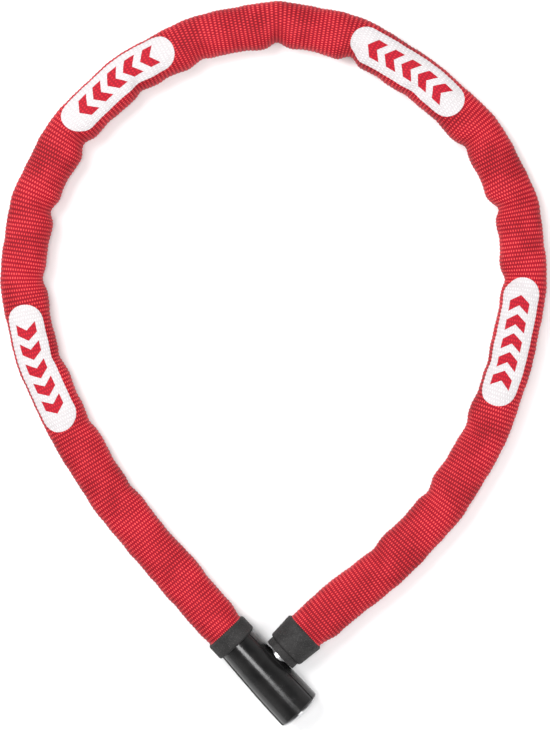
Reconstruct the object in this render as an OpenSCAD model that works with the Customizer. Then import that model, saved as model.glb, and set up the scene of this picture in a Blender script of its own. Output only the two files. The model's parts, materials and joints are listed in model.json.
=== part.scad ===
// Chain lock with a woven sleeve, lying flat and closed.
// Lengths are in millimetres. +Z is up and the part stands on Z = 0.
// Chain headings are counted anticlockwise from +X.

/* [Chain] */
// Thickness of the square link wire
wire = 4; // [3.8:0.1:4]
// Inner length of a link
link_inner = 20; // [20:0.1:20.3]
// Inner width of a link
link_gap = 6; // [6:0.1:6.2]
// Distance between the hinge lines of neighbouring chain sections
section_pitch = 36.2; // [36.1:0.1:36.4]

/* [Sleeve] */
// Width of the sleeve as it lies
sleeve_w = 21.6; // [20:0.2:22]
// Height of the sleeve as it lies
sleeve_h = 17; // [16.8:0.1:17]
// Thickness of the sleeve's fabric
sleeve_wall = 0.5; // [0.5:0.05:0.6]
// Gap between the sleeves of neighbouring sections
sleeve_clear = 0.35; // [0.3:0.05:0.5]

/* [Lock body] */
// Radius of the casing where it leaves the chain collar
casing_r_chain = 8.9; // [8.8:0.05:9]
// Radius of the casing at the key end
casing_r_key = 10.2; // [10:0.05:10.4]
// How far the lower shell stands out beyond the upper shell
shell_step = 0.35; // [0.2:0.05:0.4]
// Distance from the chain collar's middle to the casing's key end
casing_end = 45.3; // [45:0.1:46]
// Distance from the casing's key end to the top of the steel dome
dome_out = 2.5; // [2.2:0.1:2.8]

/* [Bolt] */
// Radius of the locking bolt
bolt_r = 4; // [3.8:0.05:4]
// Distance from the chain collar's middle to the bolt's axis
bolt_at = 20.9; // [20.8:0.1:21]
// Radial clearance of the bolt in its socket
bolt_clear = 0.15; // [0.1:0.05:0.2]

/* [Key cylinder] */
// Radius of the turning plug
plug_r = 4.5; // [4.4:0.05:4.5]
// How far the cam pin stands off the plug's axis
cam_throw = 2.5; // [2.4:0.05:2.5]
// Number of wafers in the plug
wafer_n = 6; // [4:1:6]

/* [Hidden] */
// ---- names ----
// The lock body's heading, from the chain end to the key end
lock_heading = -47;
// Headings of the chain sections, with the two that close the loop left at 0
set_headings = [131, 130, 122, 115, 102, 0, 62, 44, 28, 11,
                0, -30, -43, -63.5, -84.5, -101, -109, -121, -133, -142];
closing_a = 5;
closing_b = 10;
section_n = len(set_headings);

function two_digits(k) = k < 10 ? str("0", k) : str(k);
function links_name(k) = str("chain_links_", two_digits(k));
function sleeve_name(k) = str("sleeve_", two_digits(k));

// ---- plays ----
// Between a pin and its hole, as a difference of radius
hole_play = 0.05;
// Between a link and the slot it stands in, on each side
slot_play = 0.2;
// Between parts that are fitted together and don't move
seat_gap = 0.1;

// ---- link and section ----
link_r = link_gap / 2 + wire;
link_half = link_inner / 2 + wire;
// Half the distance between a link's two end bars
bar_half = (link_inner + wire) / 2;
// Distance from a flat link's middle to the upright bars held in its two ends
flat_reach = section_pitch / 2 - bar_half;
sleeve_r = sleeve_w / 2;
// Radius, seen from above, of the end that a section's sleeve puts into the next one's hollow
round_end_r = sleeve_r - 0.6;
// Most that two neighbouring sections bend against each other
bend_max = 30;
// Start of a section's sleeve, past the straight sides of the one before it
sleeve_cut = sleeve_r * sin(bend_max) + sleeve_clear;

// ---- levels ----
casing_r_max = casing_r_key + shell_step;
lock_z = casing_r_max;
chain_z = sleeve_h / 2;
drop = lock_z - chain_z;

// ---- anchor at the chain end of the lock body ----
pin_r = 2;
anchor_pin_at = 4.2;
anchor_pin_len = 13;
// The pin sits in the link's round end with a little play
anchor_reach = link_inner / 2 - pin_r - seat_gap;
anchor_arm = anchor_reach + flat_reach;
// How far the anchor link rides above the chain's middle where it holds the first section
anchor_ride = 0.4;
anchor_tilt = asin((drop - anchor_ride) / anchor_arm);
first_hinge_at = anchor_pin_at - anchor_arm * cos(anchor_tilt);

// ---- link at the bolt ----
bolt_pin_at = 20.5;
bolt_pin_len = 12.6;
// The bolt's pin sits at the middle of the upright link's round end, and the link hangs on it
hang = link_gap / 2 - pin_r - seat_gap;
bolt_arm = link_inner / 2 - link_gap / 2 + bar_half;
bolt_tilt = asin(drop / norm([bolt_arm, hang])) - atan(hang / bolt_arm);
last_hinge_at = bolt_pin_at + bolt_arm * cos(bolt_tilt) - hang * sin(bolt_tilt);

// ---- collars ----
chain_collar_half = 4.05;
chain_collar_r = 10.35;
bolt_collar_from = 10.7;
bolt_collar_to = 26.65;
bolt_collar_r_lock = 9.45;
bolt_collar_r_chain = 10.25;
bolt_lip_r = 8.3;
bolt_lip_to = 13.9;
collar_round = 1.2;
neck_r = 8.9;
bolt_neck_r = 9;
bolt_neck_drop = 0.35;
// How deep the sleeve's neck stands in the bolt's collar
neck_depth = 7;
// Straight stretch of the sleeve before it narrows towards the bolt's collar
straight_end = 3;
bolt_web_to = 16;

// ---- housing ----
housing_r = 7.6;
housing_end = 44.5;
casing_from = 0.8;
casing_neck_r = 8.75;
casing_bore = housing_r + seat_gap;
// Radial play of the bolt in the casing's hole
casing_hole_play = 0.5;
// The seams between the shells, as angles up from the side where the bolt goes in
seam_right = 35;
seam_left = 165;
// Bolt socket
socket_depth = 6.6;
bolt_tip = -6.2;
bolt_tip_r = 3.2;
notch_half = 1.9;
notch_floor = 2;

// ---- latch, which slides upwards to lock ----
latch_travel = 2 * cam_throw * sin(45);
plate_thick = 2;
tooth_from = bolt_at + notch_floor + slot_play;
plate_from = bolt_at + bolt_r + slot_play;
plate_to = plate_from + plate_thick;
tooth_half = 1.6;
tooth_top = -3.5;
latch_low = -6.6;
latch_top = 0.9;
latch_left = -2.8;
latch_right = 4.4;
latch_gap = 0.15;
cam_pin_r = 1;
cam_pin_play = 0.12;
cam_side = cam_throw * cos(45);

// ---- key cylinder ----
plug_from = 28.5;
plug_head_from = 44.6;
plug_head_r = 5;
plug_tail_r = 3;
clip_groove_r = 2.4;
clip_from = 27.55;
clip_thick = 0.7;
clip_r = 4.1;
shell_r = 6.4;
keyway_w = 2;
keyway_h = 7.4;
keyway_from = 30;
wafer_pitch = 2.2;
wafer_from = 31.6;
wafer_thick = 0.9;
wafer_w = 5;
wafer_h = 6.8;
cylinder_pin_at = 38;
cylinder_pin_r = 1;
// How far the pin reaches into the cylinder shell
pin_in_shell = 0.6;
plug_play = 0.08;
groove_depth = 1;
// Height of metal that a wafer has above and below the keyway
wafer_bridge = 1.2;
wafer_play = 0.1;
clip_play = 0.05;

// ---- steel dome on the key end ----
cap_r = 9.8;
cap_edge = 0.6;
cap_hole_play = 0.15;
cap_seat = casing_end + seat_gap;
dome_rim = cap_seat + cap_edge;
dome_top = casing_end + dome_out;
dome_r = (pow(cap_r, 2) + pow(dome_top - dome_rim, 2)) / (2 * (dome_top - dome_rim));
function dome_at(r) = dome_top - dome_r + sqrt(pow(dome_r, 2) - pow(r, 2));

// ---- the loop ----
function along(heading) = [cos(heading), sin(heading)];
lock_axis = along(lock_heading);
bolt_axis = along(lock_heading + 90);
first_hinge = lock_axis * first_hinge_at;
last_hinge = lock_axis * bolt_at + bolt_axis * last_hinge_at;

function total(list, to, k = 0) = k >= to ? [0, 0] : list[k] + total(list, to, k + 1);
set_steps = [for (k = [0:section_n - 1])
    k == closing_a || k == closing_b ? [0, 0] : along(set_headings[k]) * section_pitch];
// What is left for the two closing sections to span
rest_span = last_hinge - first_hinge - total(set_steps, section_n);
span_heading = atan2(rest_span[1], rest_span[0]);
span_half = acos(norm(rest_span) / (2 * section_pitch));
headings = [for (k = [0:section_n - 1])
    k == closing_a ? span_heading + span_half
    : k == closing_b ? span_heading - span_half
    : set_headings[k]];
steps = [for (h = headings) along(h) * section_pitch];
hinges = [for (k = [0:section_n]) first_hinge + total(steps, k)];

// ---- the frame: its origin is the middle of the footprint ----
// How low, seen from above, a round edge of the lock body reaches
function rim_low(at, r) = at * sin(lock_heading) - r * cos(lock_heading);
low = [min([for (p = hinges) p[0]]) - sleeve_r,
       min(rim_low(casing_end, casing_r_max), rim_low(dome_rim, cap_r))];
high = [max([for (p = hinges) p[0]]) + sleeve_r, max([for (p = hinges) p[1]]) + sleeve_r];
shift = -(low + high) / 2;

round_fn = 64;
hull_fn = 32;
past = 1;
// Thickness of the slabs that the tapering stretch of sleeve is drawn between
slab = 0.6;

// ---- placing ----
// Lock body: x runs along its axis to the key end, y to the side where the bolt goes in
module in_lock() translate([shift[0], shift[1], lock_z]) rotate([0, 0, lock_heading]) children();
// Bolt: x runs out of the lock body along the bolt's axis
module in_bolt() in_lock() translate([bolt_at, 0, 0]) rotate([0, 0, 90]) children();
// Section k: x runs from its first hinge line to its second, at the chain's level
module in_section(k)
    translate([hinges[k - 1][0] + shift[0], hinges[k - 1][1] + shift[1], chain_z])
        rotate([0, 0, headings[k - 1]]) children();
// Turns a shape drawn along z so that it lies along x
module along_x() rotate([90, 0, 90]) children();

// ---- shared shapes ----
module stadium(length, width, fn = round_fn) {
    square([length - width, width], center = true);
    for (side = [-1, 1])
        translate([side * (length - width) / 2, 0]) circle(d = width, $fn = fn);
}

// A link lying flat, its long side along x
module flat_link() {
    linear_extrude(wire, center = true) difference() {
        stadium(2 * link_half, 2 * link_r);
        stadium(link_inner, link_gap);
    }
}

module upright_link() rotate([90, 0, 0]) flat_link();

// The shape turned around x by a profile of [radius, place] points
module turned(points, from = 0, sweep = 360) {
    rotate([0, 90, 0]) rotate([0, 0, from])
        rotate_extrude(angle = sweep, $fn = round_fn) polygon(points);
}

// A round bar along x
module rod(r, from, to, fn = round_fn)
    translate([from, 0, 0]) rotate([0, 90, 0]) cylinder(r = r, h = to - from, $fn = fn);

// Points of a collar's rounded corner, through a quarter turn from the angle start
function rounded(centre, start) =
    [for (a = [start:15:start + 90]) centre + collar_round * [cos(a), sin(a)]];

// A stretch of sleeve along x, its surface moved inwards by inset
module sleeve_prism(from, to, inset = 0, fn = round_fn)
    translate([from, 0, 0]) along_x()
        linear_extrude(to - from) stadium(sleeve_w - 2 * inset, sleeve_h - 2 * inset, fn);

// ---- chain sections ----
module chain_links(k) {
    color("silver") in_section(k) {
        translate([bar_half, 0, 0]) upright_link();
        translate([section_pitch - flat_reach, 0, 0]) flat_link();
    }
}

// Plan of a section's sleeve: hollow at its first hinge line and round at its second
module sleeve_plan() {
    difference() {
        union() {
            translate([0, -sleeve_r]) square([section_pitch, 2 * sleeve_r]);
            translate([section_pitch, 0]) circle(round_end_r, $fn = round_fn);
        }
        circle(round_end_r + sleeve_clear, $fn = round_fn);
        translate([-sleeve_w, -sleeve_w]) square([sleeve_w + sleeve_cut, 2 * sleeve_w]);
    }
}

module sleeve(k) {
    color("crimson") in_section(k) intersection() {
        difference() {
            sleeve_prism(0, section_pitch + sleeve_r);
            sleeve_prism(-past, section_pitch + sleeve_r + past, sleeve_wall);
        }
        linear_extrude(2 * sleeve_h, center = true) sleeve_plan();
    }
}

// ---- chain end of the lock body ----
module at_anchor() translate([anchor_pin_at, 0, 0]) rotate([0, -anchor_tilt, 0]) children();

module anchor_link() {
    color("silver") in_lock() at_anchor()
        translate([-anchor_reach, 0, 0]) flat_link();
}

module anchor_pin() {
    color("gainsboro") in_lock() at_anchor()
        cylinder(r = pin_r, h = anchor_pin_len, center = true, $fn = round_fn);
}

// The sleeve's first stretch: full width up to the collar, then a round neck inside it
module sleeve_start() {
    step_at = -chain_collar_half - seat_gap;
    round_end = first_hinge_at - sleeve_r;
    color("crimson") in_lock() difference() {
        union() {
            translate([0, 0, -drop]) intersection() {
                sleeve_prism(round_end, step_at);
                linear_extrude(2 * sleeve_h, center = true) union() {
                    translate([first_hinge_at, 0]) circle(round_end_r, $fn = round_fn);
                    translate([first_hinge_at, -sleeve_r])
                        square([step_at - first_hinge_at, 2 * sleeve_r]);
                }
            }
            rod(neck_r, step_at - 2 * sleeve_wall, -sleeve_wall);
        }
        translate([0, 0, -drop]) sleeve_prism(round_end - past, step_at - sleeve_wall, sleeve_wall);
        rod(neck_r - sleeve_wall, step_at - sleeve_wall - seat_gap, 0);
    }
}

module chain_collar() {
    corner_r = chain_collar_r - collar_round;
    corner_at = chain_collar_half - collar_round;
    color("dimgray") in_lock() turned(concat(
        [[neck_r + seat_gap, -chain_collar_half]],
        rounded([corner_r, -corner_at], -90),
        rounded([corner_r, corner_at], 0),
        [[neck_r + seat_gap, chain_collar_half]]));
}

// ---- lock body ----
module lock_housing() {
    color("lightslategray") in_lock() difference() {
        rod(housing_r, 0, housing_end);
        // slot and hole for the anchor link and its pin
        at_anchor() {
            translate([-2 * wire, -housing_r - past, -wire / 2 - slot_play])
                cube([2 * wire + link_half - anchor_reach + slot_play, 2 * (housing_r + past),
                      wire + 2 * slot_play]);
            cylinder(r = pin_r + hole_play, h = 3 * housing_r, center = true, $fn = round_fn);
        }
        // bolt socket
        translate([bolt_at, 0, 0]) rotate([0, 0, 90])
            rod(bolt_r + bolt_clear, -socket_depth, housing_r + past);
        latch_room();
        rod(plug_tail_r + 2 * clip_thick, plate_to, plug_from + past);
        rod(shell_r + hole_play, plug_from, housing_end + past);
        translate([cylinder_pin_at, 0, -housing_r])
            cylinder(r = cylinder_pin_r + hole_play, h = housing_r, $fn = round_fn);
    }
}

// Points [radius, place] of a shell's outside, from the key end to the chain end
casing_steps = 12;
casing_start = chain_collar_half + seat_gap;
casing_bevel = 0.5;
function casing_r(t) = casing_r_chain + (casing_r_key - casing_r_chain) * sin(90 * t);
function casing_outside(step) = [for (i = [casing_steps:-1:0])
    [casing_r(i / casing_steps) + step,
     casing_start + (casing_end - casing_bevel - casing_start) * i / casing_steps]];

module shell(step, from, sweep) {
    difference() {
        turned(concat(
            [[casing_bore, casing_from], [casing_bore, casing_end],
             [casing_r_key + step - casing_bevel, casing_end]],
            casing_outside(step),
            [[casing_neck_r, casing_start], [casing_neck_r, casing_from]]), from, sweep);
        translate([bolt_at, 0, 0]) rotate([0, 0, 90])
            rod(bolt_r + casing_hole_play, 0, 2 * casing_r_max);
    }
}

module upper_shell() {
    color("black") in_lock() shell(0, 90 + seam_right, seam_left - seam_right);
}

module lower_shell() {
    color([0.13, 0.13, 0.14]) in_lock() shell(shell_step, 90 + seam_left, 360 + seam_right - seam_left);
}

// A steel ring that closes the key end, its outside part of one dome with the plug's face
module end_cap() {
    hole = plug_head_r + cap_hole_play;
    inside_r = casing_bore - slot_play;
    dome = [for (i = [0:8]) let (r = cap_r - i * (cap_r - hole) / 8) [r, dome_at(r)]];
    color("whitesmoke") in_lock() turned(concat(
        [[hole, plug_head_from], [inside_r, plug_head_from], [inside_r, cap_seat], [cap_r, cap_seat]],
        dome));
}

// ---- key cylinder ----
module cylinder_shell() {
    color("goldenrod") in_lock() difference() {
        rod(shell_r, plug_from, housing_end);
        rod(plug_r + plug_play, plug_from - past, housing_end + past);
        // grooves that the wafers enter when the key is out
        translate([wafer_from - past, -wafer_w / 2 - slot_play, -plug_r - groove_depth])
            cube([wafer_n * wafer_pitch + past, wafer_w + 2 * slot_play, 2 * (plug_r + groove_depth)]);
        translate([cylinder_pin_at, 0, -shell_r])
            cylinder(r = cylinder_pin_r + hole_play, h = pin_in_shell + slot_play, $fn = round_fn);
    }
}

module cylinder_pin() {
    color("gainsboro") in_lock() translate([cylinder_pin_at, 0, -housing_r + seat_gap])
        cylinder(r = cylinder_pin_r, h = housing_r - seat_gap - shell_r + pin_in_shell, $fn = round_fn);
}

module key_plug() {
    wafer_room = [wafer_thick, wafer_w, wafer_h] + wafer_play * [1, 2, 2];
    face = [for (i = [0:8]) let (r = plug_head_r * (8 - i) / 8) [r, dome_at(r)]];
    color("lightgray") in_lock() difference() {
        union() {
            turned(concat([[0, plug_head_from], [plug_head_r, plug_head_from]], face));
            rod(plug_r, plug_from, plug_head_from);
            rod(clip_groove_r, plate_to + latch_gap, plug_from);
            rod(plug_tail_r, plate_to + latch_gap, clip_from - clip_play);
            // cam pin, low at rest
            translate([0, cam_side, -cam_side]) rod(cam_pin_r, plate_from + slot_play, clip_from - clip_play);
        }
        translate([keyway_from, -keyway_w / 2, -keyway_h / 2])
            cube([dome_top, keyway_w, keyway_h]);
        for (i = [0:wafer_n - 1])
            translate([wafer_at(i), 0, 0] - wafer_room / 2 + [wafer_thick / 2, 0, 0]) cube(wafer_room);
    }
}

function wafer_at(i) = wafer_from + i * wafer_pitch;

module wafers() {
    color("gold") in_lock() for (i = [0:wafer_n - 1])
        translate([wafer_at(i), 0, 0]) along_x() linear_extrude(wafer_thick) difference() {
            square([wafer_w, wafer_h], center = true);
            square([keyway_w + slot_play, wafer_h - 2 * wafer_bridge], center = true);
        }
}

// An open ring in the groove of the plug's tail
module retaining_clip() {
    color("gainsboro") in_lock() translate([clip_from, 0, 0]) along_x()
        linear_extrude(clip_thick) difference() {
            circle(clip_r, $fn = round_fn);
            circle(clip_groove_r + clip_play, $fn = round_fn);
            translate([0, clip_groove_r]) square([2 * clip_groove_r, 2 * clip_r], center = true);
        }
}

// ---- latch ----
// Outline in [side, height] of the latch plate, grown by gap and reaching up by rise
function latch_outline(gap, rise) = [
    [latch_left - gap, latch_low], [-latch_left + gap, latch_low],
    [latch_right + gap, -wire - gap], [latch_right + gap, latch_top + rise],
    [latch_left - gap, latch_top + rise]];

module latch() {
    color("orange") in_lock() {
        translate([plate_from, 0, 0]) along_x() linear_extrude(plate_to - plate_from)
            difference() {
                polygon(latch_outline(0, 0));
                latch_slot();
            }
        translate([tooth_from, -tooth_half, latch_low])
            cube([plate_from - tooth_from, 2 * tooth_half, tooth_top - latch_low]);
    }
}

// The slot across the plate in which the cam pin slides
module latch_slot() {
    left = cam_side - cam_pin_r - latch_gap;
    right = cam_throw + cam_pin_r + latch_gap;
    half = cam_pin_r + cam_pin_play;
    translate([left, -cam_side - half]) square([right - left, 2 * half]);
}

// Room in the housing for the latch and its whole travel, open at the bottom for fitting it
module latch_room() {
    rise = latch_travel + slot_play;
    translate([plate_from - latch_gap, 0, 0]) along_x()
        linear_extrude(plate_to - plate_from + 2 * latch_gap) {
            polygon(latch_outline(latch_gap, rise));
            translate([latch_left - latch_gap, -housing_r - past])
                square([2 * (-latch_left + latch_gap), 2 * past]);
        }
    translate([tooth_from - latch_gap, -tooth_half - latch_gap, -housing_r - past])
        cube([plate_from - tooth_from + 2 * latch_gap, 2 * (tooth_half + latch_gap),
              housing_r + past + tooth_top + rise]);
}

// ---- bolt ----
fork_r = 6.8;
fork_floor_play = 0.5;
fork_past_pin = 3;
fork_from = bolt_pin_at - link_r - fork_floor_play;
fork_to = bolt_pin_at + fork_past_pin;

module locking_bolt() {
    color("silver") in_bolt() difference() {
        union() {
            translate([bolt_tip, 0, 0]) rotate([0, 90, 0])
                cylinder(r1 = bolt_tip_r, r2 = bolt_r, h = bolt_r - bolt_tip_r, $fn = round_fn);
            rod(bolt_r, bolt_tip + bolt_r - bolt_tip_r, bolt_collar_from + past);
            rod(fork_r, bolt_collar_from + past, fork_to);
        }
        // notch for the latch's tooth
        translate([-notch_half, -bolt_r - past, -2 * bolt_r])
            cube([2 * notch_half, bolt_r + past - notch_floor, 4 * bolt_r]);
        // fork for the end link and its pin
        translate([fork_from, -wire / 2 - slot_play, -2 * fork_r])
            cube([2 * fork_r + link_half, wire + 2 * slot_play, 4 * fork_r]);
        translate([bolt_pin_at, 0, 0]) rotate([90, 0, 0])
            cylinder(r = pin_r + hole_play, h = 3 * fork_r, center = true, $fn = round_fn);
    }
}

module bolt_pin() {
    color("gainsboro") in_bolt() translate([bolt_pin_at, 0, 0]) rotate([90, 0, 0])
        cylinder(r = pin_r, h = bolt_pin_len, center = true, $fn = round_fn);
}

module end_link() {
    color("silver") in_bolt() translate([bolt_pin_at, 0, 0]) rotate([0, bolt_tilt, 0])
        translate([bolt_arm - bar_half, 0, -hang]) upright_link();
}

module bolt_collar() {
    color("dimgray") in_bolt() difference() {
        turned(concat(
            [[0, bolt_collar_from], [bolt_lip_r, bolt_collar_from], [bolt_lip_r, bolt_lip_to]],
            rounded([bolt_collar_r_lock - collar_round, bolt_lip_to + collar_round], -90),
            rounded([bolt_collar_r_chain - collar_round, bolt_collar_to - collar_round], 0),
            [[0, bolt_collar_to]]));
        rod(bolt_r + seat_gap, 0, bolt_collar_to);
        rod(fork_r + seat_gap, bolt_collar_from + past, bolt_collar_to);
        translate([0, 0, -bolt_neck_drop])
            rod(bolt_neck_r + seat_gap, bolt_web_to, bolt_collar_to + past);
    }
}

// The sleeve's last stretch, from its hollow end at the hinge line into the bolt's collar
module end_form(inset) {
    taper_at = last_hinge_at - sleeve_cut - straight_end;
    translate([0, 0, -drop]) sleeve_prism(taper_at, last_hinge_at, inset, hull_fn);
    hull() {
        translate([0, 0, -drop]) sleeve_prism(taper_at, taper_at + slab, inset, hull_fn);
        translate([0, 0, -bolt_neck_drop])
            rod(bolt_neck_r - inset, bolt_collar_to, bolt_collar_to + slab, hull_fn);
    }
    translate([0, 0, -bolt_neck_drop])
        rod(bolt_neck_r - inset, bolt_collar_to - neck_depth - inset, bolt_collar_to + slab, hull_fn);
}

module sleeve_end() {
    color("crimson") in_bolt() difference() {
        end_form(0);
        end_form(sleeve_wall);
        translate([last_hinge_at, 0, 0])
            cylinder(r = round_end_r + sleeve_clear, h = 4 * sleeve_h, center = true, $fn = round_fn);
        translate([last_hinge_at - sleeve_cut, -sleeve_w, -2 * sleeve_h])
            cube([2 * sleeve_cut, 2 * sleeve_w, 4 * sleeve_h]);
    }
}

// ---- drawing ----
lock_housing();
upper_shell();
lower_shell();
chain_collar();
end_cap();
cylinder_shell();
cylinder_pin();
anchor_pin();
anchor_link();
sleeve_start();
key_plug();
wafers();
retaining_clip();
latch();
locking_bolt();
bolt_pin();
end_link();
bolt_collar();
sleeve_end();
for (k = [1:section_n]) {
    chain_links(k);
    sleeve(k);
}
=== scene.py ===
"""Looks of a bicycle chain lock that lies closed on a pale floor, seen from above."""
import json
import math

import bpy
import numpy as np
from mathutils import Matrix, Vector


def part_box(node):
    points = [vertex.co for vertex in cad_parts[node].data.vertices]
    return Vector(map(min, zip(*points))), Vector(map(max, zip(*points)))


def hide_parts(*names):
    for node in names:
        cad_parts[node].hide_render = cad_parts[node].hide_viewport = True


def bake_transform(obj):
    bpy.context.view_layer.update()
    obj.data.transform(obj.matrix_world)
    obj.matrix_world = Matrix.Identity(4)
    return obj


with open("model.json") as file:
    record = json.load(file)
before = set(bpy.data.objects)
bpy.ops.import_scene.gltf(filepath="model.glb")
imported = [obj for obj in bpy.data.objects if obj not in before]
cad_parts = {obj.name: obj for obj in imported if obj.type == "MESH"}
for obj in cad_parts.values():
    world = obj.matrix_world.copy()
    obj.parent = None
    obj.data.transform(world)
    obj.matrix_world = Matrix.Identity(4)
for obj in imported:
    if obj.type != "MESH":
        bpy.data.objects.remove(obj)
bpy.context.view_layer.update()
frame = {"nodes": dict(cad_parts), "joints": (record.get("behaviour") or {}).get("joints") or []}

MM = 0.001
SECTIONS = 20
# The loop's middle and the height of the view, which leaves the margins of a product picture
VIEW_MIDDLE = (0.8 * MM, -0.6 * MM)
VIEW_HEIGHT = 331.8 * MM
LENS = 150.0
SENSOR = 36.0
# Half the side of the square of floor that is built
FLOOR_HALF = 3.0


def middle_of(node):
    low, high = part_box(node)
    return (low + high) / 2


# ---------------------------------------------------------------- camera and light
def make_camera():
    data = bpy.data.cameras.new("camera")
    data.lens = LENS
    data.sensor_width = SENSOR
    distance = VIEW_HEIGHT / 2 / (SENSOR / 2 / LENS)
    camera = bpy.data.objects.new("camera", data)
    camera.location = (*VIEW_MIDDLE, distance + middle_of("sleeve_10")[2])
    data.clip_start, data.clip_end = 0.01, 100
    bpy.context.scene.collection.objects.link(camera)
    bpy.context.scene.camera = camera


def area_light(name, place, target, size, power, turn=None):
    """A soft box that looks at the target; turn is the direction that its long side follows."""
    data = bpy.data.lights.new(name, "AREA")
    data.shape = "RECTANGLE"
    data.size, data.size_y = size
    data.energy = power
    lamp = bpy.data.objects.new(name, data)
    back = (Vector(place) - Vector(target)).normalized()
    up = Vector(turn) if turn is not None else Vector((0, 0, 1))
    side = up.cross(back).normalized()
    up = back.cross(side)
    lamp.matrix_world = Matrix((side, up, back)).transposed().to_4x4()
    lamp.location = place
    bpy.context.scene.collection.objects.link(lamp)


def make_light():
    """A white room that is darker overhead, so that black gloss stays black, with soft boxes in it."""
    world = bpy.data.worlds.new("studio")
    world.use_nodes = True
    nodes, links = world.node_tree.nodes, world.node_tree.links
    place = nodes.new("ShaderNodeTexCoord")
    parts = nodes.new("ShaderNodeSeparateXYZ")
    ramp = nodes.new("ShaderNodeMapRange")
    ramp.interpolation_type = "SMOOTHSTEP"
    links.new(place.outputs["Generated"], parts.inputs[0])
    links.new(parts.outputs[2], ramp.inputs["Value"])
    for socket, value in (("From Min", 0.3), ("From Max", 0.85), ("To Min", 0.62), ("To Max", 0.09)):
        ramp.inputs[socket].default_value = value
    ground = nodes["Background"]
    ground.inputs["Color"].default_value = (1, 1, 1, 1)
    links.new(ramp.outputs[0], ground.inputs["Strength"])
    bpy.context.scene.world = world
    collar = middle_of("chain_collar")
    key_end = middle_of("end_cap")
    along = (key_end - collar).normalized()
    across = Vector((-along.y, along.x, 0))
    strip = collar - along * 0.13 - across * 0.09 + Vector((0, 0, 1.5))
    area_light("strip", strip, collar, (0.45, 0.32), 8, turn=along)
    area_light("key", (-0.75, 0.5, 1.15), (0, 0, 0), (0.8, 1.0), 23)
    area_light("fill", (0.95, -0.4, 1.1), (0, 0, 0), (0.9, 0.9), 14)
    view = bpy.context.scene.view_settings
    view.view_transform = "Standard"


def make_floor():
    mesh = bpy.data.meshes.new("floor")
    corners = [(x * FLOOR_HALF, y * FLOOR_HALF, 0) for x, y in ((-1, -1), (1, -1), (1, 1), (-1, 1))]
    mesh.from_pydata(corners, [], [(0, 1, 2, 3)])
    floor = bpy.data.objects.new("floor", mesh)
    bpy.context.scene.collection.objects.link(floor)
    surface = Surface("floor_white", (0.9, 0.9, 0.9), 0.9)
    surface.mottle((0.9, 0.9, 0.9), (0.88, 0.88, 0.885), 3.0)
    mesh.materials.append(surface.material)


# ---------------------------------------------------------------- material building
class Surface:
    """A material with one Principled shader, and short names for the nodes that feed it."""

    def __init__(self, name, colour, roughness, metallic=0.0):
        self.material = bpy.data.materials.new(name)
        self.material.use_nodes = True
        self.tree = self.material.node_tree
        self.shader = self.tree.nodes["Principled BSDF"]
        self.set("Base Color", (*colour, 1))
        self.set("Roughness", roughness)
        self.set("Metallic", metallic)

    def set(self, socket, value):
        self.shader.inputs[socket].default_value = value

    def node(self, kind, **settings):
        made = self.tree.nodes.new("ShaderNode" + kind)
        for key, value in settings.items():
            setattr(made, key, value)
        return made

    def link(self, source, target):
        self.tree.links.new(source, target)

    def feed(self, target, value):
        if isinstance(value, (int, float)):
            target.default_value = value
        else:
            self.link(value, target)

    def math(self, operation, a, b=0.0, c=0.0):
        made = self.node("Math", operation=operation)
        for socket, value in zip(made.inputs, (a, b, c)):
            self.feed(socket, value)
        return made.outputs[0]

    def split(self, uv_map):
        """The two coordinates of a UV map, in metres."""
        source = self.node("UVMap", uv_map=uv_map)
        parts = self.node("SeparateXYZ")
        self.link(source.outputs["UV"], parts.inputs[0])
        return parts.outputs[0], parts.outputs[1]

    def noise(self, scale, detail=3.0, roughness=0.55, stretch=(1, 1, 1)):
        place = self.node("TexCoord").outputs["Object"]
        mapping = self.node("Mapping")
        mapping.inputs["Scale"].default_value = stretch
        self.link(place, mapping.inputs["Vector"])
        made = self.node("TexNoise")
        made.inputs["Scale"].default_value = scale
        made.inputs["Detail"].default_value = detail
        made.inputs["Roughness"].default_value = roughness
        self.link(mapping.outputs[0], made.inputs["Vector"])
        return made.outputs["Fac"]

    def between(self, value, low, high, to_low=0.0, to_high=1.0, smooth=True):
        made = self.node("MapRange")
        if smooth:
            made.interpolation_type = "SMOOTHSTEP"
        for socket, number in zip(made.inputs, (value, low, high, to_low, to_high)):
            self.feed(socket, number)
        return made.outputs[0]

    def mix(self, factor, one, two):
        made = self.node("Mix", data_type="RGBA")
        self.feed(made.inputs[0], factor)
        for socket, colour in zip((made.inputs[6], made.inputs[7]), (one, two)):
            if isinstance(colour, tuple):
                socket.default_value = (*colour, 1)
            else:
                self.link(colour, socket)
        return made.outputs[2]

    def colour(self, source):
        self.link(source, self.shader.inputs["Base Color"])

    def roughness(self, source):
        self.link(source, self.shader.inputs["Roughness"])

    def bump(self, height, distance, strength=1.0):
        made = self.node("Bump")
        made.inputs["Strength"].default_value = strength
        made.inputs["Distance"].default_value = distance
        self.link(height, made.inputs["Height"])
        self.link(made.outputs[0], self.shader.inputs["Normal"])

    def mottle(self, one, two, scale):
        """Slow colour change from place to place."""
        self.colour(self.mix(self.between(self.noise(scale), 0.35, 0.65), one, two))


# ---------------------------------------------------------------- hard materials
def rubber_grain():
    surface = Surface("rubber_grain", (0.05, 0.05, 0.05), 0.72)
    speckle = surface.between(surface.noise(2600, 2), 0.56, 0.74)
    cloud = surface.between(surface.noise(160, 3), 0.3, 0.7)
    dark = surface.mix(cloud, (0.0135, 0.013, 0.013), (0.023, 0.022, 0.022))
    surface.colour(surface.mix(speckle, dark, (0.075, 0.071, 0.07)))
    surface.roughness(surface.between(surface.noise(900, 3), 0.2, 0.8, 0.55, 0.8))
    surface.bump(surface.noise(1700, 4), 0.00025, 0.6)
    surface.set("Specular IOR Level", 0.25)
    return surface.material


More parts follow.
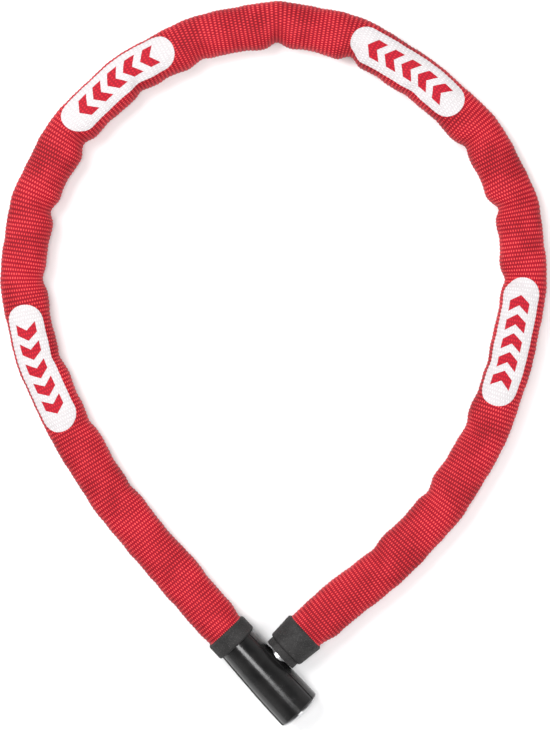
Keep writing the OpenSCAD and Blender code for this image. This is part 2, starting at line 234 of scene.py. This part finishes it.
def black_gloss(name="black_gloss", rough=(0.2, 0.28)):
    surface = Surface(name, (0.006, 0.006, 0.006), 0.15)
    surface.mottle((0.005, 0.005, 0.0052), (0.011, 0.0105, 0.0105), 90)
    surface.roughness(surface.between(surface.noise(260, 5), 0.3, 0.75, *rough))
    surface.bump(surface.noise(120, 2), 0.0002, 0.08)
    surface.set("Specular IOR Level", 0.38)
    surface.set("Coat Weight", 0.1)
    surface.set("Coat Roughness", 0.12)
    return surface.material


def steel(name, colour, rough, scale, stretch=(1, 1, 1), depth=0.00004):
    surface = Surface(name, colour, rough, 1.0)
    lines = surface.noise(scale, 5, 0.6, stretch)
    darker = tuple(0.78 * c for c in colour)
    surface.colour(surface.mix(surface.between(lines, 0.3, 0.7), darker, colour))
    surface.roughness(surface.between(surface.noise(scale / 3, 4), 0.25, 0.75, 0.7 * rough, 1.35 * rough))
    surface.bump(lines, depth, 0.4)
    return surface.material


# ---------------------------------------------------------------- sleeve material
# Pitch of the ribs along the sleeve, and of the yarns round it
RIB = 36.2 * MM / 20
YARN = 1.2 * MM
LABEL_HALF_LENGTH = 30 * MM
LABEL_HALF_WIDTH = 8.5 * MM
# The row of chevrons on a label
BAR_PITCH = 8.8 * MM


def stadium_distance(surface, along, across):
    """Distance outside a stadium's edge, negative inside it."""
    straight = LABEL_HALF_LENGTH - LABEL_HALF_WIDTH
    past = surface.math("MAXIMUM", surface.math("SUBTRACT", surface.math("ABSOLUTE", along), straight), 0.0)
    across_squared = surface.math("MULTIPLY", across, across)
    square = surface.math("ADD", surface.math("MULTIPLY", past, past), across_squared)
    return surface.math("SUBTRACT", surface.math("SQRT", square), LABEL_HALF_WIDTH)


def wave(surface, coordinate, pitch, phase=0.0):
    """0 to 1 and back once in each pitch."""
    turn = surface.math("MULTIPLY_ADD", coordinate, 2 * math.pi / pitch, phase)
    return surface.math("MULTIPLY_ADD", surface.math("COSINE", turn), 0.5, 0.5)


def sleeve_weave():
    surface = Surface("sleeve_weave", (0.7, 0.03, 0.06), 0.75)
    along, around = surface.split("weave")
    label_along, label_across = surface.split("label")
    row = surface.math("FLOOR", surface.math("DIVIDE", surface.math("ADD", along, RIB / 2), RIB))
    shift = surface.math("MULTIPLY", surface.math("MODULO", row, 2.0), math.pi)
    turn = surface.math("ADD", surface.math("MULTIPLY", around, 2 * math.pi / YARN), shift)
    yarn = surface.math("MULTIPLY_ADD", surface.math("COSINE", turn), 0.5, 0.5)
    rib = wave(surface, along, RIB)
    # where a yarn top meets a rib crest: the mask for the painted highlight
    painted_highlight_mask = surface.math("MULTIPLY", yarn, rib)
    # painted shade in the troughs between ribs and between yarns, the rib's own red, and a painted highlight
    # on the top of each yarn
    cloud = surface.between(surface.noise(60, 4), 0.3, 0.7)
    painted_shade_red = surface.mix(cloud, (0.12, 0.001, 0.006), (0.22, 0.001, 0.011))
    full = surface.mix(cloud, (0.31, 0.002, 0.012), (0.46, 0.003, 0.018))
    painted_highlight_red = surface.mix(cloud, (0.60, 0.03, 0.034), (0.84, 0.085, 0.08))
    cloth = surface.mix(surface.between(rib, 0.0, 0.4, 0.25, 1.0), painted_shade_red, full)
    cloth = surface.mix(surface.between(yarn, 0.0, 0.5, 0.8, 0.0), cloth, painted_shade_red)
    cloth = surface.mix(surface.between(painted_highlight_mask, 0.35, 0.75), cloth, painted_highlight_red)
    # the label: a plain white field with a generic row of red chevrons
    edge = stadium_distance(surface, label_along, label_across)
    on_label = surface.between(edge, -0.15 * MM, 0.15 * MM, 1.0, 0.0)
    lean = surface.math("MULTIPLY_ADD", surface.math("ABSOLUTE", label_across), -0.75, label_along)
    lean = surface.math("ADD", lean, 1.7 * MM)
    ridge = wave(surface, lean, BAR_PITCH)
    bars = surface.between(ridge, 0.38, 0.46)
    inside = surface.between(surface.math("ABSOLUTE", label_across), 4.4 * MM, 4.6 * MM, 1.0, 0.0)
    ends = surface.math("LESS_THAN", surface.math("ABSOLUTE", lean), 2.5 * BAR_PITCH)
    bars = surface.math("MULTIPLY", bars, surface.math("MULTIPLY", inside, ends))
    fleck = surface.between(surface.noise(1500, 3), 0.3, 0.6)
    # the label's white and red each get painted shade in the weave's troughs and a painted highlight on the
    # yarn tops; the white also has random flecks
    white = surface.mix(surface.math("MULTIPLY", painted_highlight_mask, fleck), (0.52, 0.49, 0.50), (0.74, 0.73, 0.737))
    red = surface.mix(painted_highlight_mask, (0.30, 0.004, 0.016), (0.62, 0.016, 0.03))
    label = surface.mix(bars, white, red)
    surface.colour(surface.mix(on_label, cloth, label))
    fuzz = surface.noise(2400, 3)
    raised = surface.math("MULTIPLY", yarn, surface.between(rib, 0.2, 0.9))
    height = surface.math("MULTIPLY_ADD", fuzz, 0.35, raised)
    surface.bump(height, 0.00028, 0.75)
    surface.roughness(surface.between(fuzz, 0.25, 0.75, 0.6, 0.85))
    surface.set("Specular IOR Level", 0.22)
    surface.set("Sheen Weight", 0.09)
    surface.set("Sheen Roughness", 0.4)
    surface.set("Sheen Tint", (1.0, 0.45, 0.5, 1))
    return surface.material


# ---------------------------------------------------------------- the sleeve's course
def two(number):
    return f"{number:02d}"


def hinge_points():
    """The chain's hinges in plan, in order from the lock body to the bolt."""
    places = {j["name"]: j["pos_m"] for j in frame["joints"] if j["name"].startswith("chain_hinge")}
    return np.array([places[name][:2] for name in sorted(places)])


HINGES = hinge_points()
PITCH = float(np.linalg.norm(HINGES[6] - HINGES[5]))
CHAIN_Z = [j["pos_m"][2] for j in frame["joints"] if j["name"] == "chain_hinge_01"][0]


class Course:
    """The middle line of the sleeve: straight along each section, with a curve at each hinge."""

    def __init__(self, points, corner):
        self.points = points
        self.corner = corner
        steps = np.diff(points, axis=0)
        self.lengths = np.linalg.norm(steps, axis=1)
        self.ways = steps / self.lengths[:, None]
        self.starts = np.concatenate([[0], np.cumsum(self.lengths)])

    def at(self, s):
        """Place and heading at a distance s along the unrounded line."""
        k = int(np.clip(np.searchsorted(self.starts, s, "right") - 1, 0, len(self.lengths) - 1))
        place = self.points[k] + self.ways[k] * (s - self.starts[k])
        way = self.ways[k]
        nearest = k if s - self.starts[k] < self.lengths[k] / 2 else k + 1
        offset = s - self.starts[nearest]
        if 0 < nearest < len(self.lengths) and abs(offset) < self.corner:
            into, out_of = self.ways[nearest - 1], self.ways[nearest]
            share = (offset + self.corner) / (2 * self.corner)
            begin = self.points[nearest] - into * self.corner
            end = self.points[nearest] + out_of * self.corner
            mid = self.points[nearest]
            place = (1 - share) ** 2 * begin + 2 * share * (1 - share) * mid + share ** 2 * end
            way = (1 - share) * into + share * out_of
            way = way / np.linalg.norm(way)
        return place, way

    def bend(self, k):
        """Turn at corner k in degrees, positive to the left."""
        into, out_of = self.ways[k - 1], self.ways[k]
        return math.degrees(math.atan2(into[0] * out_of[1] - into[1] * out_of[0], into @ out_of))


def bell(x, width):
    return np.exp(-(x / width) ** 2)


# ---------------------------------------------------------------- the sleeve's form
def lock_axis():
    """A point on the lock body's axis at the chain collar, and the axis' direction to the key end."""
    turn = next(j for j in frame["joints"] if j["name"] == "key_turn")
    way = np.array(turn["axis"][:2])
    collar = np.array(middle_of("chain_collar")[:2])
    return collar, way / np.linalg.norm(way)


def end_points():
    """Where the sleeve disappears in the two collars."""
    collar, way = lock_axis()
    bolt_way = np.array([-way[1], way[0]])
    into_chain = collar - way * COLLAR_HALF
    into_bolt = HINGES[-1] - bolt_way * ((HINGES[-1] - collar) @ bolt_way - BOLT_COLLAR_FACE)
    return into_chain, into_bolt


COLLAR_HALF = 4.05 * MM
BOLT_COLLAR_FACE = 26.65 * MM
HIDDEN = 1.2 * MM
CORNER = 9 * MM
AROUND = 72
RINGS_PER_RIB = 4
# Half the width of the sleeve between its ends, seen from above
HALF_WIDTH = 10.1 * MM
# How far the slack cloth hangs over to the loop's outside, at a few of the hinges
SLACK = [(1, -0.4 * MM), (6, 0.0), (8, 1.5 * MM), (11, 1.5 * MM),
         (13, -1.2 * MM), (16, 0.2 * MM), (21, 0.8 * MM)]
# Half-sizes of the even ring that the cloth's girth is taken from
HALF_OUTER = 10.9 * MM
HALF_INNER = 10.7 * MM
HALF_HEIGHT = 8.35 * MM
SQUARENESS = 2.5
END_HALF = 9.15 * MM
END_HEIGHT = 8.6 * MM
TAPER = 10 * MM
NOTCH_PER_DEGREE = 0.07 * MM
CREASE_PER_DEGREE = 0.075 * MM
# A notch on the inner side of each bend, with a bulge before and after it
NOTCH_WIDTH = 4.2 * MM
BULGE_SHARE = 0.4
BULGE_PLACE = 9 * MM
BULGE_WIDTH = 5 * MM
# How far a fold wanders from its hinge along the sleeve
FOLD_WANDER = 1.5 * MM
# How far the flat links push the sides out, and the upright ones the top
SIDE_PUSH = 0.35 * MM
TOP_PUSH = 0.2 * MM
FLAT_LINK = 30 * MM
# The stretch at each end over which the sleeve comes down from the lock body's height
DESCENT = 30 * MM
FLOOR_GAP = 0.08 * MM
BLEND_REACH = 11 * MM
RIB_DEPTH = 0.12 * MM
# The labels' places: section, distance past that section's first hinge, shift to the loop's outside
LABELS = [(4, 32 * MM, 1.4 * MM), (8, 31 * MM, 3 * MM), (12, 28.5 * MM, -0.8 * MM), (16, 28 * MM, -1.4 * MM)]

START, END = end_points()
COURSE = Course(np.vstack([START[None], HINGES, END[None]]), CORNER)
LABEL_S = [(COURSE.starts[k] + past, shift) for k, past, shift in LABELS]
BENDS = [0.0] + [abs(COURSE.bend(k)) for k in range(1, SECTIONS + 2)] + [0.0]
LOCK_Z = middle_of("chain_collar")[2]


def ring_shape():
    """Places round a squarish oval of half-sizes 1, evenly spaced, from the bottom by the outer side."""
    fine = np.linspace(0, 2 * math.pi, 4000)
    lateral = np.sign(np.sin(fine)) * np.abs(np.sin(fine)) ** (2 / SQUARENESS)
    upward = -np.sign(np.cos(fine)) * np.abs(np.cos(fine)) ** (2 / SQUARENESS)
    steps = np.hypot(np.diff(lateral) * HALF_OUTER, np.diff(upward) * HALF_HEIGHT)
    run = np.concatenate([[0], np.cumsum(steps)])
    wanted = np.linspace(0, run[-1], AROUND + 1)[:-1]
    return np.interp(wanted, run, lateral), np.interp(wanted, run, upward), wanted - run[-1] / 2, run[-1]


SIDE, UP, TURN, GIRTH = ring_shape()


def ease(x):
    x = np.clip(x, 0.0, 1.0)
    return x * x * (3 - 2 * x)


def slack(s):
    """How far the cloth hangs over to the outside at a distance s along the course."""
    hinge = 1 + (s - COURSE.starts[1]) / PITCH
    return float(np.interp(hinge, *zip(*SLACK)))


def hinges_near(k):
    """The hinges whose folds reach section k."""
    return range(max(1, k - 1), min(SECTIONS + 1, k + 2) + 1)


def fold_lean(hinge):
    return FOLD_WANDER * math.sin(2.3 * hinge)


def ring(s):
    """The ring of points at a distance s along the course, and their ways over the cloth from the top."""
    total = COURSE.starts[-1]
    place, way = COURSE.at(min(max(s, 0.0), total))
    if s < 0:
        place = place + way * s
    if s > total:
        place = place + way * (s - total)
    left = np.array([-way[1], way[0]])
    near_end = min(s, total - s)
    full = ease(near_end / TAPER)
    # the two link kinds take turns: the flat ones push the sides out, the upright ones the top
    k = int(np.clip(np.searchsorted(COURSE.starts, s, "right") - 1, 1, SECTIONS))
    along = s - COURSE.starts[k]
    push = math.cos(2 * math.pi * (along - FLAT_LINK) / PITCH) * full
    outer = END_HALF + (HALF_WIDTH + slack(s) - END_HALF) * full
    inner = END_HALF + (HALF_WIDTH - slack(s) - END_HALF) * full + SIDE_PUSH * push
    height = END_HEIGHT + (HALF_HEIGHT - END_HEIGHT) * full - TOP_PUSH * push
    for hinge in hinges_near(k):
        turn = BENDS[hinge]
        lean = fold_lean(hinge)
        off = s - COURSE.starts[hinge]
        depth = NOTCH_PER_DEGREE * turn * full * (0.75 + 0.35 * math.sin(1.7 * hinge + 1))
        inner -= depth * bell(off - lean, NOTCH_WIDTH)
        bulges = bell(off - lean - BULGE_PLACE, BULGE_WIDTH) + bell(off - lean + BULGE_PLACE, BULGE_WIDTH)
        inner += BULGE_SHARE * depth * bulges
    half = np.where(SIDE > 0, outer, inner)
    normal_side = np.abs(SIDE) ** (SQUARENESS - 1) * np.sign(SIDE) / half
    normal_up = np.abs(UP) ** (SQUARENESS - 1) * np.sign(UP) / height
    size = np.hypot(normal_side, normal_up)
    rib = math.cos(2 * math.pi * (s - COURSE.starts[1]) / RIB)
    out = crumple(s, k) * full + RIB_DEPTH * rib * (1 - 0.6 * label_share(s))
    lateral = SIDE * half + out * normal_side / size
    upward = UP * height + out * normal_up / size
    points = np.zeros((AROUND, 3))
    points[:, :2] = place + np.outer(lateral, left)
    points[:, 2] = np.maximum(chain_height(s) + upward, FLOOR_GAP)
    run = np.concatenate([[0], np.cumsum(np.hypot(np.diff(SIDE * half), np.diff(UP * height)))])
    return points, run[AROUND // 2] - run


def chain_height(s):
    """Height of the sleeve's middle: the lock body's at both collars, and lower where the chain lies down."""
    total = COURSE.starts[-1]
    share = 1 - ease(min(s, total - s) / DESCENT)
    return CHAIN_Z + (LOCK_Z - CHAIN_Z) * share


def crumple(s, k):
    """Soft folds: creases from each bend's inner side over the top, and slow waves of slack cloth."""
    out = np.zeros(AROUND)
    for hinge in hinges_near(k):
        off = s - COURSE.starts[hinge]
        slant = (0.25 + 0.35 * math.sin(3.1 * hinge)) * HALF_INNER
        crease = off - fold_lean(hinge) - slant * (SIDE + 1)
        reach = ease((0.75 - SIDE) / 1.5) * (0.35 + 0.65 * np.maximum(UP, 0.0))
        swell = 0.45 * bell(crease - 7 * MM, 4 * MM)
        fold = bell(crease, 3.6 * MM) - swell - 0.35 * bell(crease + 7 * MM, 4 * MM)
        out -= CREASE_PER_DEGREE * BENDS[hinge] * reach * fold
    x = s / MM
    out += 0.16 * MM * np.sin(0.37 * x + 2.2 * SIDE + 1.1) * np.sin(0.11 * x - 1.3 * SIDE)
    out += 0.10 * MM * np.sin(0.71 * x - 3.1 * SIDE + 0.4) * np.sin(0.19 * x + 2.0 * UP)
    return out


def label_share(s):
    """1 at the points that lie on a label and 0 at the others."""
    centre, shift = nearest_label(s)
    past = max(abs(s - centre) - (LABEL_HALF_LENGTH - LABEL_HALF_WIDTH), 0)
    return (np.hypot(past, -TURN - shift) < LABEL_HALF_WIDTH).astype(float)


def nearest_label(s):
    return min(LABEL_S, key=lambda one: abs(one[0] - s))


def tube(name, stations):
    """A tube of cloth through the rings at these distances, with the weave's and the label's coordinates."""
    made = [ring(s) for s in stations]
    rings = np.array([points for points, over in made])
    sideways = np.array([over for points, over in made])
    count = len(stations)
    verts = rings.reshape(-1, 3)
    faces = []
    for j in range(count - 1):
        for i in range(AROUND):
            n = (i + 1) % AROUND
            faces.append((j * AROUND + i, (j + 1) * AROUND + i, (j + 1) * AROUND + n, j * AROUND + n))
    mesh = bpy.data.meshes.new(name)
    mesh.from_pydata(verts.tolist(), [], faces)
    centre, shift = nearest_label(0.5 * (stations[0] + stations[-1]))
    along = np.array(stations)[:-1, None, None] + np.zeros((1, AROUND, 1))
    after = np.array(stations)[1:, None, None] + np.zeros((1, AROUND, 1))
    turn = TURN[None, :, None] + np.zeros((count - 1, 1, 1))
    onward = turn + GIRTH / AROUND
    corners_s = np.concatenate([along, after, after, along], axis=2).ravel()
    corners_t = np.concatenate([turn, turn, onward, onward], axis=2).ravel()
    turned = np.roll(sideways, -1, axis=1)
    turned[:, -1] = sideways[:, -1] - GIRTH / AROUND
    four = (sideways[:-1], sideways[1:], turned[1:], turned[:-1])
    label_t = np.stack(four, axis=2).ravel()
    weave = ("weave", corners_s - COURSE.starts[1], corners_t)
    label = ("label", corners_s - centre, label_t - shift)
    for layer, u, v in (weave, label):
        values = np.column_stack([u, v]).ravel()
        mesh.uv_layers.new(name=layer).data.foreach_set("uv", values.astype(np.float32))
    mesh.polygons.foreach_set("use_smooth", [True] * len(mesh.polygons))
    piece = bpy.data.objects.new(name, mesh)
    bpy.context.scene.collection.objects.link(piece)
    return piece


def make_sleeve(material):
    nodes = ["sleeve_start"] + [f"sleeve_{two(k)}" for k in range(1, SECTIONS + 1)] + ["sleeve_end"]
    seams = [0.5 * (COURSE.starts[k] + COURSE.starts[k + 1]) for k in range(1, SECTIONS + 1)]
    edges = [-HIDDEN] + seams + [COURSE.starts[-1] + HIDDEN]
    step = RIB / RINGS_PER_RIB
    for k in range(SECTIONS + 1):
        begin, finish = edges[k], edges[k + 1]
        count = max(2, round((finish - begin) / step) + 1)
        stations = list(np.linspace(begin, finish, count))
        piece = tube(f"woven_sleeve_{two(k + 1)}", stations)
        piece.data.materials.append(material)
        before = COURSE.at(max(COURSE.starts[k + 1] - BLEND_REACH, 0.0))[0]
        after = COURSE.at(min(COURSE.starts[k + 1] + BLEND_REACH, COURSE.starts[-1]))[0]
        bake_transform(piece)
        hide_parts(nodes[k])
        if k == SECTIONS:
            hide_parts(nodes[k + 1])


# ---------------------------------------------------------------- the parts that stay as they are
def dress(nodes, material, bevel=0.0):
    for name in nodes:
        node = frame["nodes"][name]
        node.data.materials.clear()
        node.data.materials.append(material)
        if bevel:
            edge = node.modifiers.new("soft_edge", "BEVEL")
            edge.width = bevel
            edge.segments = 3
            edge.limit_method = "ANGLE"
            edge.angle_limit = math.radians(40)
            edge.harden_normals = False


def dress_parts():
    link_steel = steel("link_steel", (0.60, 0.60, 0.61), 0.38, 900)
    hard_steel = steel("hard_steel", (0.55, 0.55, 0.56), 0.34, 700, (1, 1, 6))
    dome_steel = steel("dome_steel", (0.60, 0.60, 0.61), 0.24, 500)
    brass = steel("brass", (0.72, 0.53, 0.25), 0.3, 800)
    zinc = steel("cast_zinc", (0.42, 0.43, 0.45), 0.5, 1200)
    rubber = rubber_grain()
    dress([f"chain_links_{two(k)}" for k in range(1, SECTIONS + 1)] + ["anchor_link", "end_link"], link_steel)
    dress(["locking_bolt", "latch"], hard_steel)
    dress(["anchor_pin", "bolt_pin", "cylinder_pin", "retaining_clip"], link_steel)
    dress(["end_cap", "key_plug"], dome_steel)
    dress(["cylinder_shell", "wafers"], brass)
    dress(["lock_housing"], zinc)
    dress(["chain_collar", "bolt_collar"], rubber)
    dress(["upper_shell"], black_gloss())
    dress(["lower_shell"], black_gloss("black_satin", (0.22, 0.34)))


make_camera()
make_light()
make_floor()
make_sleeve(sleeve_weave())
dress_parts()
